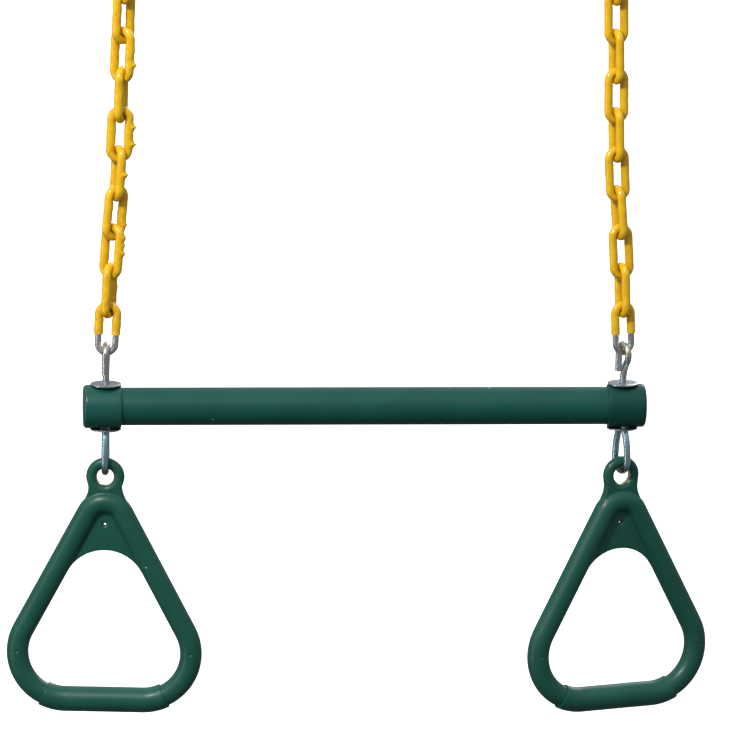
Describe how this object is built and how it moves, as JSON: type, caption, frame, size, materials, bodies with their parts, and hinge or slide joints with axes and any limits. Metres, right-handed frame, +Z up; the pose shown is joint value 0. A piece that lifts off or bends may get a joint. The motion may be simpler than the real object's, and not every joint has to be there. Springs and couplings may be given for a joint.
{
  "type": "trapeze bar with gym rings",
  "caption": "Steel trapeze bar with a triangular gym ring below each end, hung on coated swing chains from hooks.",
  "frame": {"origin": "midway between the points where the two upper hooks bear on the swing beam's eye bolts", "axes": "+X along the bar to the right, +Y from front to back, +Z up; everything hangs below the origin"},
  "size_m": [0.5731, 0.0612, 0.6608],
  "materials": {
    "chain_steel": "zinc-plated steel wire",
    "chain_coat": "glossy dipped plastisol",
    "hardware": "zinc-plated with a faint chromate tint",
    "bar_paint": "satin powder coat",
    "cap_plastic": "semi-gloss moulded plastic",
    "ring_plastic": "semi-gloss moulded plastic",
    "grip_plastic": "satin moulded plastic",
    "bushing_metal": "zinc-plated eyelet with a warm chromate tint"
  },
  "bodies": {
    "hooks": {"left_s_hook": "hardware", "right_s_hook": "hardware"},
    "left_link_01": {"left_link_01_steel": "chain_steel", "left_link_01_coat": "chain_coat"},
    "right_link_01": {"right_link_01_steel": "chain_steel", "right_link_01_coat": "chain_coat"},
    "left_link_02": {"left_link_02_steel": "chain_steel", "left_link_02_coat": "chain_coat"},
    "right_link_02": {"right_link_02_steel": "chain_steel", "right_link_02_coat": "chain_coat"},
    "left_link_03": {"left_link_03_steel": "chain_steel", "left_link_03_coat": "chain_coat"},
    "right_link_03": {"right_link_03_steel": "chain_steel", "right_link_03_coat": "chain_coat"},
    "left_link_04": {"left_link_04_steel": "chain_steel", "left_link_04_coat": "chain_coat"},
    "right_link_04": {"right_link_04_steel": "chain_steel", "right_link_04_coat": "chain_coat"},
    "left_link_05": {"left_link_05_steel": "chain_steel", "left_link_05_coat": "chain_coat"},
    "right_link_05": {"right_link_05_steel": "chain_steel", "right_link_05_coat": "chain_coat"},
    "left_link_06": {"left_link_06_steel": "chain_steel", "left_link_06_coat": "chain_coat"},
    "right_link_06": {"right_link_06_steel": "chain_steel", "right_link_06_coat": "chain_coat"},
    "left_link_07": {"left_link_07_steel": "chain_steel", "left_link_07_coat": "chain_coat"},
    "right_link_07": {"right_link_07_steel": "chain_steel", "right_link_07_coat": "chain_coat"},
    "left_link_08": {"left_link_08_steel": "chain_steel", "left_link_08_coat": "chain_coat"},
    "right_link_08": {"right_link_08_steel": "chain_steel", "right_link_08_coat": "chain_coat"},
    "left_link_09": {"left_link_09_steel": "chain_steel", "left_link_09_coat": "chain_coat"},
    "right_link_09": {"right_link_09_steel": "chain_steel", "right_link_09_coat": "chain_coat"},
    "left_link_10": {"left_link_10_steel": "chain_steel", "left_link_10_coat": "chain_coat"},
    "right_link_10": {"right_link_10_steel": "chain_steel", "right_link_10_coat": "chain_coat"},
    "bar": {"bar_tube": "bar_paint", "left_end_cap": "cap_plastic", "right_end_cap": "cap_plastic", "left_top_washer": "hardware", "left_bottom_washer": "hardware", "right_top_washer": "hardware", "right_bottom_washer": "hardware"},
    "left_hanger": {"left_hanger_rod": "hardware"},
    "left_ring": {"left_ring_frame": "ring_plastic", "left_ring_bushing": "bushing_metal", "left_ring_grip": "grip_plastic"},
    "right_hanger": {"right_hanger_rod": "hardware"},
    "right_ring": {"right_ring_frame": "ring_plastic", "right_ring_bushing": "bushing_metal", "right_ring_grip": "grip_plastic"}
  },
  "joints": [
    {"name": "swing", "type": "hinge", "parent": "hooks", "child": "left_link_01", "pos_m": [-0.19599, 0, -0.0402], "axis": [1, 0, 0], "range_deg": [-40, 40]},
    {"name": "right_link_01_bend", "type": "hinge", "parent": "hooks", "child": "right_link_01", "pos_m": [0.19599, 0, -0.0402], "axis": [1, 0, 0], "range_deg": [-40, 40]},
    {"name": "chain_bend_02", "type": "hinge", "parent": "left_link_01", "child": "left_link_02", "pos_m": [-0.19677, 0, -0.06859], "axis": [1, 0, 0], "range_deg": [-8, 8]},
    {"name": "right_link_02_bend", "type": "hinge", "parent": "right_link_01", "child": "right_link_02", "pos_m": [0.19677, 0, -0.06859], "axis": [1, 0, 0], "range_deg": [-8, 8]},
    {"name": "chain_bend_03", "type": "hinge", "parent": "left_link_02", "child": "left_link_03", "pos_m": [-0.19755, 0, -0.10038], "axis": [1, 0, 0], "range_deg": [-8, 8]},
    {"name": "right_link_03_bend", "type": "hinge", "parent": "right_link_02", "child": "right_link_03", "pos_m": [0.19755, 0, -0.10038], "axis": [1, 0, 0], "range_deg": [-8, 8]},
    {"name": "chain_bend_04", "type": "hinge", "parent": "left_link_03", "child": "left_link_04", "pos_m": [-0.19832, 0, -0.13217], "axis": [1, 0, 0], "range_deg": [-8, 8]},
    {"name": "right_link_04_bend", "type": "hinge", "parent": "right_link_03", "child": "right_link_04", "pos_m": [0.19832, 0, -0.13217], "axis": [1, 0, 0], "range_deg": [-8, 8]},
    {"name": "chain_bend_05", "type": "hinge", "parent": "left_link_04", "child": "left_link_05", "pos_m": [-0.19888, 0, -0.16397], "axis": [1, 0, 0], "range_deg": [-8, 8]},
    {"name": "right_link_05_bend", "type": "hinge", "parent": "right_link_04", "child": "right_link_05", "pos_m": [0.19888, 0, -0.16397], "axis": [1, 0, 0], "range_deg": [-8, 8]},
    {"name": "chain_bend_06", "type": "hinge", "parent": "left_link_05", "child": "left_link_06", "pos_m": [-0.20004, 0, -0.19575], "axis": [1, 0, 0], "range_deg": [-8, 8]},
    {"name": "right_link_06_bend", "type": "hinge", "parent": "right_link_05", "child": "right_link_06", "pos_m": [0.20004, 0, -0.19575], "axis": [1, 0, 0], "range_deg": [-8, 8]},
    {"name": "chain_bend_07", "type": "hinge", "parent": "left_link_06", "child": "left_link_07", "pos_m": [-0.20176, 0, -0.2275], "axis": [1, 0, 0], "range_deg": [-8, 8]},
    {"name": "right_link_07_bend", "type": "hinge", "parent": "right_link_06", "child": "right_link_07", "pos_m": [0.20176, 0, -0.2275], "axis": [1, 0, 0], "range_deg": [-8, 8]},
    {"name": "chain_bend_08", "type": "hinge", "parent": "left_link_07", "child": "left_link_08", "pos_m": [-0.20448, 0, -0.25918], "axis": [1, 0, 0], "range_deg": [-8, 8]},
    {"name": "right_link_08_bend", "type": "hinge", "parent": "right_link_07", "child": "right_link_08", "pos_m": [0.20448, 0, -0.25918], "axis": [1, 0, 0], "range_deg": [-8, 8]},
    {"name": "chain_bend_09", "type": "hinge", "parent": "left_link_08", "child": "left_link_09", "pos_m": [-0.20648, 0, -0.29092], "axis": [1, 0, 0], "range_deg": [-8, 8]},
    {"name": "right_link_09_bend", "type": "hinge", "parent": "right_link_08", "child": "right_link_09", "pos_m": [0.20648, 0, -0.29092], "axis": [1, 0, 0], "range_deg": [-8, 8]},
    {"name": "chain_bend_10", "type": "hinge", "parent": "left_link_09", "child": "left_link_10", "pos_m": [-0.20786, 0, -0.32269], "axis": [1, 0, 0], "range_deg": [-8, 8]},
    {"name": "right_link_10_bend", "type": "hinge", "parent": "right_link_09", "child": "right_link_10", "pos_m": [0.20786, 0, -0.32269], "axis": [1, 0, 0], "range_deg": [-8, 8]},
    {"name": "bar_tilt", "type": "hinge", "parent": "left_link_10", "child": "bar", "pos_m": [-0.20925, 0, -0.35786], "axis": [1, 0, 0], "range_deg": [-20, 20]},
    {"name": "left_swivel", "type": "hinge", "parent": "bar", "child": "left_hanger", "pos_m": [-0.20925, 0, -0.40186], "axis": [0, 0, 1], "range_deg": [-12, 12]},
    {"name": "left_ring_swing", "type": "hinge", "parent": "left_hanger", "child": "left_ring", "pos_m": [-0.20925, 0, -0.44566], "axis": [0.9945, -0.1045, 0], "range_deg": [-50, 50]},
    {"name": "right_swivel", "type": "hinge", "parent": "bar", "child": "right_hanger", "pos_m": [0.20925, 0, -0.40186], "axis": [0, 0, 1], "range_deg": [-12, 12]},
    {"name": "right_ring_swing", "type": "hinge", "parent": "right_hanger", "child": "right_ring", "pos_m": [0.20925, 0, -0.44566], "axis": [0.9272, 0.3746, 0], "range_deg": [-50, 50]}
  ],
  "couplings": [
    {"joint": "right_link_01_bend", "follows": "swing", "ratio": 1},
    {"joint": "right_link_02_bend", "follows": "chain_bend_02", "ratio": 1},
    {"joint": "right_link_03_bend", "follows": "chain_bend_03", "ratio": 1},
    {"joint": "right_link_04_bend", "follows": "chain_bend_04", "ratio": 1},
    {"joint": "right_link_05_bend", "follows": "chain_bend_05", "ratio": 1},
    {"joint": "right_link_06_bend", "follows": "chain_bend_06", "ratio": 1},
    {"joint": "right_link_07_bend", "follows": "chain_bend_07", "ratio": 1},
    {"joint": "right_link_08_bend", "follows": "chain_bend_08", "ratio": 1},
    {"joint": "right_link_09_bend", "follows": "chain_bend_09", "ratio": 1},
    {"joint": "right_link_10_bend", "follows": "chain_bend_10", "ratio": 1}
  ]
}
